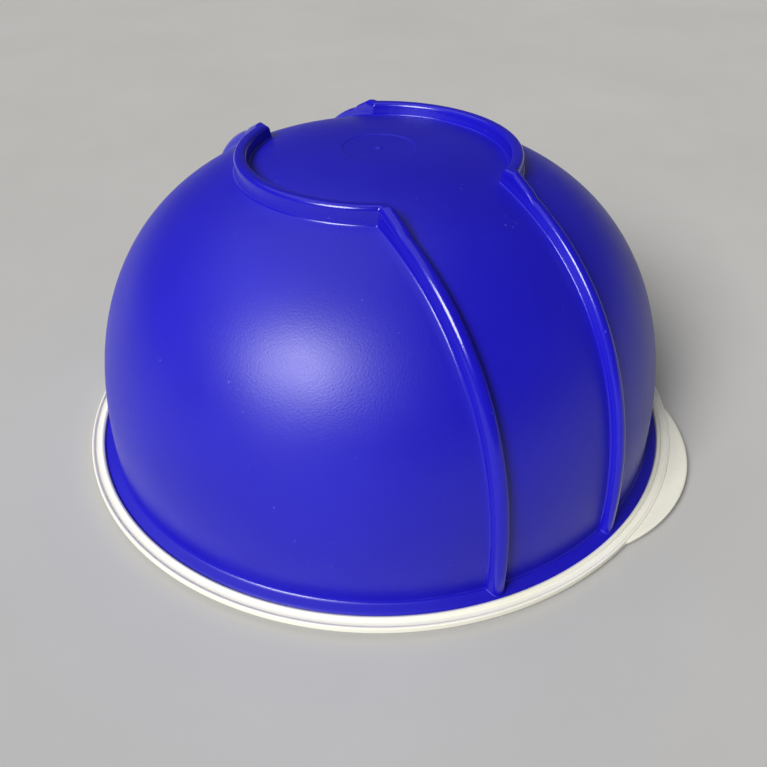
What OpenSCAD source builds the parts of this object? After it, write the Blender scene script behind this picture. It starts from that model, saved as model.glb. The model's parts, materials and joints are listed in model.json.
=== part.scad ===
// Hand-cranked salad spinner, stored mouth down on its drive lid.
// Millimetres. +Z is up, z = 0 is the surface it lies on, and the origin is on the spin axis.

/* [Bowl] */
// Outer radius of the bowl where its wall meets the rim flange
bowl_r = 133.3; // [132.5:0.1:133.5]
// Height of the top of the bowl's base
bowl_top = 137.1; // [136.5:0.1:137.4]
// Wall thickness of the bowl
bowl_wall = 2.5; // [2.2:0.1:2.8]
// Height of the foot ring's crest
foot_top = 137.5; // [137.5:0.1:138.5]
// Inner radius of the foot ring
foot_r_in = 55.2; // [52:0.1:56]
// Outer radius of the foot ring
foot_r_out = 61.1; // [60:0.1:62]
// Distance of each rib's centre line from the bowl's middle plane
rib_x = 30.1; // [28:0.1:31]
// Width of a rib
rib_w = 6; // [4:0.1:7]
// How far the ribs stand out from the wall
rib_h = 4.5; // [3:0.1:4.6]

/* [Lid] */
// Outer radius of the lid
lid_r = 145; // [144.5:0.1:146]
// Height of the lid's outer lip
lip_top = 5.4; // [5.2:0.1:5.6]
// Inner radius of the bead that closes round the bowl's rim
bead_r = 139; // [138.9:0.05:139.1]
// Height of the bead
bead_top = 5.8; // [5.6:0.1:6]
// Radius of the lift tab's round outline
tab_r = 80; // [76:1:88]
// Distance of the lift tab's tip from the spin axis
tab_reach = 154; // [152:0.1:156]
// Direction of the lift tab, anticlockwise from the front (-Y)
tab_angle = 32.7; // [0:0.1:90]
// Thickness of the lift tab
tab_t = 1.6; // [1.4:0.1:1.8]

/* [Crank wheel] */
// Radius of the wheel's visible face
wheel_r = 74.2; // [73.8:0.1:74.3]
// Length of the folding knob from its hinge
knob_len = 45; // [42:0.5:46]
// Largest radius of the knob's grip
grip_r = 8.5; // [7.5:0.1:8.6]
// Screws in the retaining ring
ring_screw_count = 6; // [4:1:8]

/* [Gears] */
// Module of all gears
gear_m = 1.6; // [1.6]
// Teeth of the sun gear and of each planet gear
pinion_teeth = 15; // [15]
// Teeth of the ring gear
ring_teeth = 45; // [45]
// Thinning of each tooth for backlash
backlash = 0.15; // [0.1:0.01:0.2]

/* [Basket] */
// Outer radius of the basket at its rim
basket_r = 116.5; // [114:0.1:117]
// Height of the top of the basket's bottom
basket_top = 117; // [112:0.5:118]
// Slots round the basket's wall
basket_slots = 32; // [24:2:44]
// Width of a basket slot
slot_w = 3.6; // [2.5:0.1:4]

/* [Hidden] */
$fn = 96;
eps = 0.01;
far = 400;

// Dome shape: powers of the curve's height and radius terms, and steps of the outline
dome_zp = 2.46;
dome_rp = 2.62;
basket_p = 3;
dome_steps = 30;
basket_steps = 10;
dome_z0 = 6;

// Bowl rim and centre
rim_r = bead_r - 0.3;
rim_z = 2.5;
crease_z = 6.3;
flange_drop = 1.55;
rib_root = 2.3;
rib_top = bowl_top + 4.6;
shoulder_r = 70.9;
shoulder_z = [120, 132.3];
shoulder_lap = 0.3;
disc_r = 15.5;
disc_depth = 0.5;
pip_r = 1.6;
post_r = 4;
post_tip_z = 123.2;

// Lid sections
panel_z = 1.5;
panel_t = 2.2;
channel_z = 2.2;
plug_r = 129.5;
plug_z = 9.2;
recess_r = 88.3;
recess_z = 3.5;
cup_r = 77.2;
cup_z = 22;
boss_r = 8.5;
boss_z0 = 18.6;
boss_z1 = 34;
ring_screw_r = 83.6;
lid_rib_count = 9;
lid_rib_t = 1.6;
foot_ring_r = [131, 139];
lip_z0 = 2.8;
groove_z = 4.7;
tab_z = 2.95;

// Crank wheel and knob
face_z = 1;
disc_t = 2.2;
flange_z = [3.8, 5.6];
flange_r = 76.5;
hub_pad_z = 4;
wheel_boss_z = 7.6;
cap_r = 16;
pocket_y = -55.5;
pocket_w = 23;
pocket_half = 31.4;
pocket_roof = 19.2;
pocket_wall = 1.5;
pocket_corner = 4.5;
hinge_x = -23.5;
hinge_z = 10.3;
hinge_pin_r = 1.5;
hinge_lug = 5;
stem_r = 3;
stem_start = 11.4;
cap_gap = 2.5;

// Gear train
pitch_r = gear_m * pinion_teeth / 2;
planet_r = gear_m * pinion_teeth;
ring_pitch_r = gear_m * ring_teeth / 2;
pressure_angle = 25;
flank_steps = 4;
gear_z = [8.2, 15.4];
ring_body_r = 41;
ring_z = [disc_t + face_z, 15.6];
ring_lug_r = 44;
ring_lug_angles = [90, 210, 330];
planet_angles = [0, 120, 240];
planet_pin_r = 2;
pin_z = [6.4, 23];
clip_z = [7.1, 7.7];
spindle_r = 3;
run_gap = 0.05;
spindle_z = [4.4, 50.4];
spindle_clip_z = [16.8, 17.5];
bush_r = 5;
bush_flange_r = 7.5;
bush_flange_t = 0.8;
d_flat = 2.4;

// Drive plate and basket
plate_z = 36;
plate_t = 2.2;
plate_r = 119;
hub_z = [35.2, 44];
thread_r = 2.5;
drive_lug_count = 6;
lug_w = 9;
lug_top = 43.4;
basket_rim_z = 38.6;
basket_rim_r = 119.5;
basket_wall = 1.9;
notch_gap = 0.5;
notch_top = 44;
socket_r = [6.5, 9];
socket_top = 129;
cup_floor = 119.5;

// ---- shared shapes ----

// Points of a domed outline, from its rim at z0 to its top on the axis.
function dome_points(r, z0, top, zp, rp, steps = dome_steps) = [
    for (i = [1:steps]) let (t = 90 * i / steps)
        [i == steps ? 0 : r * pow(cos(t), 2 / rp), z0 + (top - z0) * pow(sin(t), 2 / zp)]
];

// Solid dome: the space under a domed outline, standing on z_base.
module dome(r, z0, top, zp, rp, z_base, steps = dome_steps)
    rotate_extrude() polygon(concat([[0, z_base], [r, z_base]], dome_points(r, z0, top, zp, rp, steps)));

module ring(r_in, r_out, z0, z1)
    difference() {
        translate([0, 0, z0]) cylinder(r = r_out, h = z1 - z0);
        translate([0, 0, z0 - 1]) cylinder(r = r_in, h = z1 - z0 + 2);
    }

module around(angles, r) for (a = angles) rotate([0, 0, a]) translate([r, 0, 0]) children();

function even_angles(n, start = 0) = [for (i = [0:n - 1]) start + 360 * i / n];

// Radial slot with round ends, from r_in to r_out.
module slot_2d(r_in, r_out, w) {
    translate([r_in + w / 2, -w / 2]) square([r_out - r_in - w, w]);
    translate([r_in + w / 2, 0]) circle(d = w, $fn = 24);
    translate([r_out - w / 2, 0]) circle(d = w, $fn = 24);
}

// Involute gears: angle of the involute at radius r on the base circle rb, in degrees.
function roll(rb, r) = r > rb ? sqrt(pow(r / rb, 2) - 1) * 180 / PI : 0;
function involute(rb, r) = roll(rb, r) - atan(roll(rb, r) * PI / 180);
function flank_radii(rb, r_root, r_tip) = let (start = max(rb, r_root)) concat(
    r_root < rb ? [r_root] : [],
    [for (k = [0:flank_steps]) start + (r_tip - start) * k / flank_steps]
);

module gear_2d(teeth, r_root, r_tip, thin) {
    rp = gear_m * teeth / 2;
    rb = rp * cos(pressure_angle);
    half = 90 / teeth - thin / 2 / rp * 180 / PI + involute(rb, rp);
    radii = flank_radii(rb, r_root, r_tip);
    last = len(radii) - 1;
    polygon([
        for (i = [0:teeth - 1], side = [-1, 1], k = [0:last])
            let (r = radii[side < 0 ? k : last - k],
                 a = 360 * i / teeth + side * (half - involute(rb, r)))
            [r * cos(a), r * sin(a)]
    ]);
}

module pinion(bore_r) {
    difference() {
        translate([0, 0, gear_z[0]]) linear_extrude(gear_z[1] - gear_z[0])
            gear_2d(pinion_teeth, pitch_r - 1.25 * gear_m, pitch_r + gear_m, backlash);
        cylinder(r = bore_r, h = far);
    }
}

// Retaining clip: an open ring seated in a groove.
module clip(r_in, r_out, z)
    difference() {
        ring(r_in, r_out, z[0], z[1]);
        translate([0, -r_in * 0.8, z[0] - 1]) cube([far, r_in * 1.6, z[1] - z[0] + 2]);
    }

module flanged_bush(r_in, r_out, z, flange_at)
    difference() {
        union() {
            translate([0, 0, z[0]]) cylinder(r = r_out, h = z[1] - z[0]);
            translate([0, 0, flange_at]) cylinder(r = bush_flange_r, h = bush_flange_t);
        }
        cylinder(r = r_in, h = far);
    }

// ---- bowl ----

module rib_plan_2d()
    difference() {
        intersection() {
            union() {
                difference() {
                    circle(r = foot_r_out);
                    square([2 * (rib_x - rib_w / 2), far], center = true);
                }
                for (side = [-1, 1])
                    translate([side * rib_x, 0]) square([rib_w, far], center = true);
            }
            circle(r = rim_r - 0.7);
        }
        circle(r = foot_r_in);
    }

// Space under the ribs' upper ends, which slope down from the foot and end in a small step.
module rib_shoulder()
    rotate_extrude() polygon([
        [0, shoulder_z[0]], [shoulder_r + 0.5, shoulder_z[0]], [shoulder_r, shoulder_z[1]],
        [foot_r_out + shoulder_lap, foot_top + eps], [0, foot_top + eps]
    ]);

module bowl_ribs()
    difference() {
        intersection() {
            translate([0, 0, crease_z - rib_root])
                linear_extrude(foot_top - crease_z + rib_root) rib_plan_2d();
            union() {
                dome(bowl_r + rib_h, dome_z0, rib_top, dome_zp, dome_rp, 0);
                rib_shoulder();
            }
        }
        dome(bowl_r - bowl_wall / 2, dome_z0, bowl_top - bowl_wall / 2, dome_zp, dome_rp, -1);
    }

module bowl_shell()
    difference() {
        rotate_extrude() polygon(concat(
            [[0, rim_z], [rim_r - 0.5, rim_z], [rim_r, rim_z + 0.5], [rim_r, crease_z - flange_drop - 0.4],
             [rim_r - 0.4, crease_z - flange_drop], [bowl_r + 1.3, crease_z - 0.35],
             [bowl_r + 0.3, crease_z], [bowl_r, crease_z + 0.6]],
            [for (p = dome_points(bowl_r, dome_z0, bowl_top, dome_zp, dome_rp)) if (p[1] > crease_z + 1) p]
        ));
        dome(bowl_r - bowl_wall, dome_z0, bowl_top - bowl_wall, dome_zp, dome_rp, -1);
    }

module bowl_post()
    rotate_extrude() polygon([
        [0, post_tip_z], [post_r / 2, post_tip_z], [post_r, post_tip_z + 1.8], [post_r, bowl_top - 6],
        [post_r + 3, bowl_top - bowl_wall + 0.6], [0, bowl_top - bowl_wall + 0.6]
    ]);

module bowl() color("mediumblue") {
    difference() {
        union() {
            bowl_shell();
            bowl_ribs();
            bowl_post();
        }
        translate([0, 0, bowl_top - disc_depth]) cylinder(r = disc_r, h = far);
    }
    translate([0, 0, bowl_top - disc_depth - 1]) cylinder(r = pip_r, h = 1.6);
}

// ---- lid ----

module lid_section()
    polygon([
        [bush_r, boss_z0], [boss_r, boss_z0], [boss_r, cup_z], [cup_r, cup_z], [cup_r, recess_z],
        [recess_r, recess_z], [recess_r, panel_z], [foot_ring_r[0] - 0.5, panel_z], [foot_ring_r[0], 0],
        [foot_ring_r[1], 0], [foot_ring_r[1] + 0.6, 1.2], [lid_r - 4.4, 1.2], [lid_r - 3.4, lip_z0 - 0.2],
        [lid_r - 0.5, lip_z0], [lid_r, lip_z0 + 0.5], [lid_r, lip_top - 0.8], [lid_r - 0.4, lip_top - 0.2],
        [lid_r - 1, lip_top], [lid_r - 1.7, lip_top - 0.2], [lid_r - 2.6, groove_z],
        [lid_r - 3.5, bead_top - 0.6], [lid_r - 4, bead_top - 0.15], [lid_r - 4.7, bead_top],
        [bead_r + 0.5, bead_top - 0.2], [bead_r + 0.1, bead_top - 0.6], [bead_r, bead_top - 1.1],
        [bead_r, channel_z], [plug_r + 0.7, channel_z], [plug_r + 0.2, channel_z + 0.8],
        [plug_r, plug_z - 0.6], [plug_r - 0.6, plug_z], [plug_r - 1.6, plug_z],
        [plug_r - 2.2, plug_z - 0.6], [plug_r - 2.2, panel_z + panel_t],
        [recess_r + panel_t, panel_z + panel_t], [recess_r + panel_t, recess_z + panel_t + 0.2],
        [cup_r + panel_t, recess_z + panel_t + 0.2], [cup_r + panel_t, cup_z + panel_t],
        [boss_r, cup_z + panel_t], [boss_r, boss_z1], [bush_r, boss_z1]
    ]);

// Gusset from the gear cup out to the plug wall.
module lid_rib_section()
    polygon([
        [cup_r + 1, recess_z + 1], [recess_r + 0.8, recess_z + 1], [recess_r + 1.2, panel_z + 0.8],
        [plug_r - 1.2, panel_z + 0.8], [plug_r - 1.2, plug_z - 2], [recess_r + 6, plug_z - 2],
        [cup_r + 1, cup_z - 5]
    ]);

module lift_tab()
    translate([0, 0, tab_z]) linear_extrude(tab_t) difference() {
        rotate([0, 0, tab_angle]) translate([0, tab_r - tab_reach]) circle(r = tab_r, $fn = 180);
        circle(r = lid_r - 1.5);
    }

module lid() color("ivory") difference() {
    union() {
        rotate_extrude() lid_section();
        lift_tab();
        around(even_angles(lid_rib_count, 10), 0) rotate([90, 0, 0])
            translate([0, 0, -lid_rib_t / 2]) linear_extrude(lid_rib_t) lid_rib_section();
        around(even_angles(ring_screw_count, 30), ring_screw_r)
            translate([0, 0, recess_z + 1]) cylinder(r = 3.6, h = 8, $fn = 32);
        around(planet_angles, planet_r)
            translate([0, 0, gear_z[1] + 0.8]) cylinder(r = 5, h = cup_z - gear_z[1], $fn = 48);
    }
    around(even_angles(ring_screw_count, 30), ring_screw_r)
        translate([0, 0, recess_z - 1]) cylinder(r = 1.25, h = 8.5, $fn = 24);
    around(planet_angles, planet_r)
        translate([0, 0, gear_z[1]]) cylinder(r = planet_pin_r, h = pin_z[1] - gear_z[1], $fn = 48);
}

module retaining_ring() color("ivory") difference() {
    ring(wheel_r + 0.5, recess_r - 0.3, face_z, recess_z);
    around(even_angles(ring_screw_count, 30), ring_screw_r) {
        cylinder(r = 1.7, h = far, $fn = 24);
        cylinder(r = 3.2, h = recess_z - 0.9, $fn = 32);
    }
}

module ring_screws() color("silver")
    around(even_angles(ring_screw_count, 30), ring_screw_r) difference() {
        union() {
            translate([0, 0, face_z + 0.1]) cylinder(r = 3, h = recess_z - face_z - 1, $fn = 32);
            translate([0, 0, recess_z - 1]) cylinder(r = 1.25, h = 8, $fn = 24);
        }
        screw_cross(face_z + 0.1);
    }

// Cross recess in a screw head whose outer face lies at z.
module screw_cross(z)
    for (a = [0, 90]) rotate([0, 0, a])
        translate([-1.6, -0.35, z - 1]) cube([3.2, 0.7, 1.8]);

module planet_pins() color("silver") around(planet_angles, planet_r) rotate_extrude() polygon([
    [0, pin_z[0]], [planet_pin_r - 0.3, pin_z[0]], [planet_pin_r, pin_z[0] + 0.3],
    [planet_pin_r, clip_z[0]], [planet_pin_r - 0.3, clip_z[0]], [planet_pin_r - 0.3, clip_z[1]],
    [planet_pin_r, clip_z[1]], [planet_pin_r, pin_z[1]], [0, pin_z[1]]
]);

module planet_clips() color("dimgray")
    around(planet_angles, planet_r) clip(planet_pin_r - 0.3, 4, clip_z);

// ---- crank wheel ----

// Upright block with rounded corners, in the place of the knob's pocket.
module pocket(half, w, z0, z1, r)
    translate([0, pocket_y, z0]) linear_extrude(z1 - z0) polygon([
        for (q = [0:3], k = [0:6])
            let (sx = q == 0 || q == 3 ? 1 : -1, sy = q < 2 ? 1 : -1, a = 90 * q + 15 * k)
            [sx * (half - r) + r * cos(a), sy * (w / 2 - r) + r * sin(a)]
    ]);

module wheel_disc()
    rotate_extrude() polygon([
        [0, face_z], [wheel_r - 0.8, face_z], [wheel_r, face_z + 0.8], [wheel_r, flange_z[0]],
        [flange_r, flange_z[0]], [flange_r, flange_z[1]], [flange_r - 5, flange_z[1]],
        [flange_r - 5, ring_z[0]], [20, ring_z[0]], [19, hub_pad_z], [bush_r + 3, hub_pad_z],
        [bush_r + 3, wheel_boss_z], [0, wheel_boss_z]
    ]);

// Wheel-side ears that carry the knob's hinge pin.
module hinge_ears()
    for (side = [-1, 1])
        translate([hinge_x - 6, pocket_y + side * (pocket_w - hinge_lug) / 2 - hinge_lug / 2, 5])
            cube([12, hinge_lug, pocket_roof - 4.5]);

module crank_wheel() color("ivory") difference() {
    union() {
        difference() {
            union() {
                wheel_disc();
                pocket(pocket_half + pocket_wall, pocket_w + 2 * pocket_wall, face_z + 1.4,
                       pocket_roof + pocket_wall, pocket_corner + pocket_wall);
                around([for (a = even_angles(12, 15)) if (a < 200 || a > 340) a], 50)
                    translate([0, -0.8, face_z + 1.4]) cube([flange_r - 54, 1.6, disc_t + 0.4]);
            }
            pocket(pocket_half, pocket_w, -1, pocket_roof, pocket_corner);
        }
        hinge_ears();
    }
    translate([0, 0, -1]) cylinder(r = cap_r, h = face_z + 2);
    translate([0, 0, hub_pad_z]) cylinder(r = bush_r, h = far);
    around(ring_lug_angles, ring_lug_r) cylinder(r = 1.1, h = far, $fn = 24);
    translate([hinge_x, 0, hinge_z]) rotate([90, 0, 0]) cylinder(r = hinge_pin_r, h = far, $fn = 48);
}

module wheel_cap() color("mediumblue") rotate_extrude() polygon([
    [0, face_z - 0.2], [cap_r - 1.4, face_z - 0.2], [cap_r - 0.3, face_z + 0.6],
    [cap_r - 0.3, face_z + 1], [0, face_z + 1]
]);

module wheel_bush() color("dimgray") difference() {
    translate([0, 0, hub_pad_z]) cylinder(r = bush_r, h = wheel_boss_z - hub_pad_z);
    translate([0, 0, hub_pad_z - 1]) cylinder(r = spindle_r + run_gap, h = far);
}

module ring_gear() color("whitesmoke")
    translate([0, 0, ring_z[0]]) linear_extrude(ring_z[1] - ring_z[0]) difference() {
        union() {
            circle(r = ring_body_r);
            for (a = ring_lug_angles) rotate(a) translate([ring_lug_r, 0]) circle(r = 4, $fn = 48);
        }
        for (a = ring_lug_angles) rotate(a) translate([ring_lug_r, 0]) circle(r = 1.1, $fn = 24);
        gear_2d(ring_teeth, ring_pitch_r - gear_m, ring_pitch_r + 1.25 * gear_m, -backlash);
    }

module ring_gear_screws() color("silver") around(ring_lug_angles, ring_lug_r) {
    translate([0, 0, face_z + 0.8]) cylinder(r = 1.1, h = ring_z[1] - face_z, $fn = 24);
    translate([0, 0, ring_z[1]]) cylinder(r = 2.3, h = 1.5, $fn = 32);
}

// ---- knob: built along +X from its hinge ----

module hinge_pin() color("silver")
    translate([hinge_x, pocket_y + pocket_w / 2 + pocket_wall, hinge_z]) rotate([90, 0, 0])
        cylinder(r = hinge_pin_r, h = pocket_w + 2 * pocket_wall, $fn = 48);

module along_knob() translate([hinge_x, pocket_y, hinge_z]) rotate([0, 90, 0]) children();

module knob_arm() color("ivory") difference() {
    union() {
        translate([hinge_x, pocket_y + 6.3, hinge_z]) rotate([90, 0, 0]) cylinder(r = 5, h = 12.6);
        translate([hinge_x, pocket_y - 5.5, hinge_z - 4]) cube([stem_start - 1, 11, 8]);
        along_knob() {
            translate([0, 0, stem_start - 1.6]) cylinder(r = 7, h = 1.6);
            translate([0, 0, stem_start - eps]) cylinder(r = stem_r, h = knob_len - cap_gap - stem_start);
        }
    }
    translate([hinge_x, pocket_y + 20, hinge_z]) rotate([90, 0, 0])
        cylinder(r = hinge_pin_r + run_gap, h = 40, $fn = 48);
    along_knob() translate([0, 0, knob_len - cap_gap - 12]) cylinder(r = 1.2, h = far, $fn = 24);
}

module knob_grip() color("mediumblue") along_knob() rotate_extrude() polygon([
    [stem_r + run_gap, stem_start + 0.3], [grip_r - 1.9, stem_start + 0.3],
    [grip_r - 1, stem_start + 0.8], [grip_r - 0.8, stem_start + 1.8], [grip_r - 1.3, 18],
    [grip_r - 1.6, 23], [grip_r - 1.5, 28], [grip_r - 0.9, 33], [grip_r - 0.3, 37], [grip_r, knob_len - 4.5],
    [grip_r - 0.1, knob_len - 2.5], [grip_r - 0.9, knob_len - 0.8], [grip_r - 2.1, knob_len],
    [6.1, knob_len], [6.1, knob_len - cap_gap - 0.4], [stem_r + run_gap, knob_len - cap_gap - 0.4]
]);

module knob_cap() color("ivory") along_knob() {
    translate([0, 0, knob_len - cap_gap]) cylinder(r = 5.7, h = cap_gap - 0.5);
    translate([0, 0, knob_len - cap_gap - 10]) cylinder(r = 1.2, h = 10 + eps, $fn = 24);
}

// ---- gear train ----

module planet_gear(i) color("whitesmoke")
    translate([planet_r * cos(planet_angles[i]), planet_r * sin(planet_angles[i]), 0]) difference() {
        union() {
            pinion(planet_pin_r + run_gap);
            ring(planet_pin_r + run_gap, 4.2, clip_z[1] + 0.2, gear_z[1] + 0.6);
        }
        cylinder(r = planet_pin_r + run_gap, h = far);
    }

module sun_gear() color("whitesmoke") {
    pinion(spindle_r);
    ring(spindle_r, 5, gear_z[1] - eps, spindle_clip_z[0]);
}

module spindle() color("silver") difference() {
    rotate_extrude() polygon([
        [0, spindle_z[0]], [spindle_r - 0.4, spindle_z[0]], [spindle_r, spindle_z[0] + 0.4],
        [spindle_r, spindle_clip_z[0]], [spindle_r - 0.4, spindle_clip_z[0]],
        [spindle_r - 0.4, spindle_clip_z[1]], [spindle_r, spindle_clip_z[1]], [spindle_r, hub_z[1]],
        [thread_r, hub_z[1]], [thread_r, spindle_z[1] - 0.4], [thread_r - 0.4, spindle_z[1]],
        [0, spindle_z[1]]
    ]);
    translate([d_flat, -5, hub_z[0]]) cube([5, 10, hub_z[1] - hub_z[0]]);
}

module spindle_clip() color("dimgray") clip(spindle_r - 0.4, 5.5, spindle_clip_z);

module spindle_bush_lower() color("dimgray") flanged_bush(
    spindle_r + run_gap, bush_r, [boss_z0, boss_z0 + 6.4], boss_z0 - bush_flange_t);

module spindle_bush_upper() color("dimgray") flanged_bush(
    spindle_r + run_gap, bush_r, [boss_z1 - 6, boss_z1], boss_z1);

// ---- basket drive ----

module plate_pattern_2d() difference() {
    circle(r = plate_r);
    for (a = even_angles(18, 10)) rotate(a) slot_2d(32, 62, 4.5);
    for (a = even_angles(36, 5)) rotate(a) slot_2d(68, 103, 4.5);
}

module drive_plate() color("ivory") difference() {
    union() {
        translate([0, 0, plate_z]) linear_extrude(plate_t) plate_pattern_2d();
        ring(106.5, 108.5, plate_z + plate_t - eps, plate_z + plate_t + 2.4);
        translate([0, 0, hub_z[0]]) cylinder(r = 9, h = hub_z[1] - hub_z[0]);
        around(even_angles(6, 0), 8)
            translate([0, -0.9, plate_z + plate_t - eps]) cube([20, 1.8, 3]);
        around(even_angles(drive_lug_count, 0), 111.5)
            translate([0, -lug_w / 2, plate_z]) cube([6.8, lug_w, lug_top - plate_z]);
    }
    difference() {
        translate([0, 0, hub_z[0] - 1]) cylinder(r = spindle_r, h = far);
        translate([d_flat, -5, 0]) cube([5, 10, far]);
    }
}

module hub_washer() color("silver") ring(thread_r, 7, hub_z[1], hub_z[1] + 0.8);

module hub_nut() color("silver") difference() {
    translate([0, 0, hub_z[1] + 0.8]) cylinder(r = 4.6, h = 4, $fn = 6);
    cylinder(r = thread_r, h = far);
}

// ---- basket ----

module basket_shell() difference() {
    union() {
        dome(basket_r, basket_rim_z, basket_top, basket_p, basket_p, basket_rim_z, basket_steps);
        translate([0, 0, basket_rim_z]) cylinder(r = basket_rim_r, h = 2);
        translate([0, 0, basket_top - 2]) cylinder(r = socket_r[1], h = socket_top - basket_top + 2);
    }
    dome(basket_r - basket_wall, basket_rim_z, basket_top - basket_wall, basket_p, basket_p,
         basket_rim_z - 1, basket_steps);
}

module basket_openings() {
    around(even_angles(basket_slots), 0) translate([50, 0, 0]) rotate([90, 0, 90])
        linear_extrude(far) translate([0, 48]) rotate(90) slot_2d(0, 46, slot_w);
    for (a = even_angles(basket_slots / 2)) rotate([0, 0, a])
        translate([0, 0, basket_top - 20]) linear_extrude(far) slot_2d(16, 62, slot_w);
    around(even_angles(drive_lug_count), 110)
        translate([0, -lug_w / 2 - notch_gap, basket_rim_z - 1])
            cube([12, lug_w + 2 * notch_gap, notch_top - basket_rim_z + 1]);
}

module basket() color("ivory") difference() {
    basket_shell();
    basket_openings();
    translate([0, 0, basket_top + 0.2]) cylinder(r = socket_r[0], h = far);
}

module basket_pivot_cup() color("dimgray") difference() {
    translate([0, 0, basket_top + 0.2]) cylinder(r = socket_r[0], h = socket_top - basket_top - 0.2);
    translate([0, 0, cup_floor]) cylinder(r = post_r + run_gap, h = far);
}

bowl();
lid();
retaining_ring();
ring_screws();
crank_wheel();
wheel_cap();
wheel_bush();
ring_gear();
ring_gear_screws();
hinge_pin();
knob_arm();
knob_cap();
knob_grip();
planet_gear(0);  // planet_gear_1
planet_gear(1);  // planet_gear_2
planet_gear(2);  // planet_gear_3
planet_pins();
planet_clips();
spindle();
sun_gear();
spindle_clip();
spindle_bush_lower();
spindle_bush_upper();
drive_plate();
hub_washer();
hub_nut();
basket();
basket_pivot_cup();
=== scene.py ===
import functools
import json
import math

import bmesh
import bpy
import numpy as np
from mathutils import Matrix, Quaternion, Vector


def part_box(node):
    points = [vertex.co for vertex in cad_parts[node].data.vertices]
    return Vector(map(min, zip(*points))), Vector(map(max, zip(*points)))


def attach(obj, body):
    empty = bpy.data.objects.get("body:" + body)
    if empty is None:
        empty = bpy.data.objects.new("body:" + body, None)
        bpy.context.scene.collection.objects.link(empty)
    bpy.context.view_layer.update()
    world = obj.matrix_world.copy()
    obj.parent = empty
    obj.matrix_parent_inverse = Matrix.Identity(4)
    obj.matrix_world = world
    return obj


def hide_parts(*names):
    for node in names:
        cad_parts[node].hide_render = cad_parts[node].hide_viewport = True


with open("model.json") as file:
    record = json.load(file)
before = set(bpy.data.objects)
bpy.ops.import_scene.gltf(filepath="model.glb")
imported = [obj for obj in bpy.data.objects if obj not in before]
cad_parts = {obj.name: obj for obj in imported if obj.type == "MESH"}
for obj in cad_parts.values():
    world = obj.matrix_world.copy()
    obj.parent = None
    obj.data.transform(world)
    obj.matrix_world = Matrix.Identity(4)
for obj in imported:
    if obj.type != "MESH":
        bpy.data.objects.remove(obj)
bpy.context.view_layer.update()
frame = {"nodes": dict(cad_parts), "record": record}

# Shapes are worked out in millimetres, as the CAD is, and scaled when a mesh is made.
MM = 0.001


def node_box(node):
    """Lowest and highest corners of a CAD node, in millimetres."""
    low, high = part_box(node)
    return np.array(low) / MM, np.array(high) / MM


BOWL_LOW, BOWL_HIGH = node_box("bowl")
WHEEL_R = node_box("crank_wheel")[1][0]
BASKET_LOW, BASKET_HIGH = node_box("basket")
GRIP_LOW, GRIP_HIGH = node_box("knob_grip")

# Bowl: its wall is a superellipse dome, with powers DOME_RP across and DOME_ZP up
RIM_R = BOWL_HIGH[0]
FOOT_TOP = BOWL_HIGH[2]
RIM_Z = BOWL_LOW[2]
WALL_R = RIM_R - 5.4
WALL_T = 2.5
DOME_TOP = FOOT_TOP - 0.4
DOME_Z0 = 6.0
DOME_ZP = 2.46
DOME_RP = 2.62
CREASE_Z = 6.3
FLANGE_FALL = 0.3
# Foot ring and ribs; the ribs run along Y, a pair on each side of the channel
FOOT_IN = 55.2
FOOT_OUT = 61.1
RIB_X = 30.1
RIB_HALF = 3.0
RIB_RISE = 4.5
# The ribs' crest lies on a larger dome, with a shoulder round the foot
ENVELOPE_TOP = DOME_TOP + 4.6
SHOULDER_R = 70.9
SHOULDER_Z = 132.3
SHOULDER_LAP = 0.3
# Columns of the mesh run straight along the ribs inside this band, from this radius out
BAND_X = 37.0
BAND_START_R = 50.0
# Round mark and gate pip in the middle of the base
DISC_R = 15.5
DISC_Z = DOME_TOP - 0.5
PIP_R = 1.6
# Centre post that the basket turns on
POST_FLARE_R = 8.5
POST_R = 4.0
POST_TIP_R = 2.4
POST_TIP_Z = 123.2
# Section of a rib or of the foot: fillet at its base, nearly upright side, round crest
BASE_FILLET = 0.9
FOOT_CREST = 2.0
RIB_CREST = 2.5
SIDE_LOW = -0.15
SIDE_HIGH = 0.2
MIN_STEP_HEIGHT = 4.0
# Between these radii a crest turns from standing on the wall's normal to standing upright
NORMAL_R = 78.0
UPRIGHT_R = 62.0
# Halving search for a crest's height
SEARCH_REACH = 14.0
SEARCH_STEPS = 30
SIDE_SECTOR_COLUMNS = 72

# Lid: its edge, from the bead round the bowl's rim out to the lip and the tab
LID_R = 145.0
BEAD_R = RIM_R + 0.3
BEAD_TOP = 5.8
LIP_TOP = 5.4
LIP_Z0 = 2.8
GROOVE_Z = 4.45
TAB_R = 80.0
TAB_REACH = 154.0
TAB_ANGLE = 32.7
TAB_Z0 = 2.95
TAB_Z1 = 4.55
# The tab fades in over this reach, in a sector with closer columns
TAB_BLEND = 0.8
TAB_SECTOR = 24.0
TAB_COLUMNS = 96
LIP_COLUMNS = 220
# Section of its inner part: spindle boss, gear cup, plate, seal channel and plug wall
CUP_BORE = WHEEL_R + 0.7
CUP_R = CUP_BORE + 2.2
CUP_CEILING = 22.0
CUP_TOP = 24.2
BOSS_BORE = 5.0
BOSS_R = 8.5
BOSS_LOW = 18.6
BOSS_TOP = 34.0
PLATE_STEP_IN = 88.3
PLATE_STEP_OUT = 90.5
PLATE_LOW = 1.5
PLATE_TOP = 3.7
CUP_RIM_LOW = 3.5
CUP_RIM_TOP = 5.9
FOOT_RING_IN = 131.0
FOOT_RING_OUT = 139.0
CHANNEL_LOW = 1.2
CHANNEL_Z = 2.2
PLUG_IN = 127.4
PLUG_OUT = 129.6
PLUG_TOP = 9.2
# Parts joined to it: stiffening ribs, bosses of the ring's screws, posts of the planets' pins
GUSSETS = 9
GUSSET_HALF = 0.8
RING_SCREWS = 6
RING_SCREW_R = 83.6
PLANETS = 3
PLANET_R = 24.0

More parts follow.
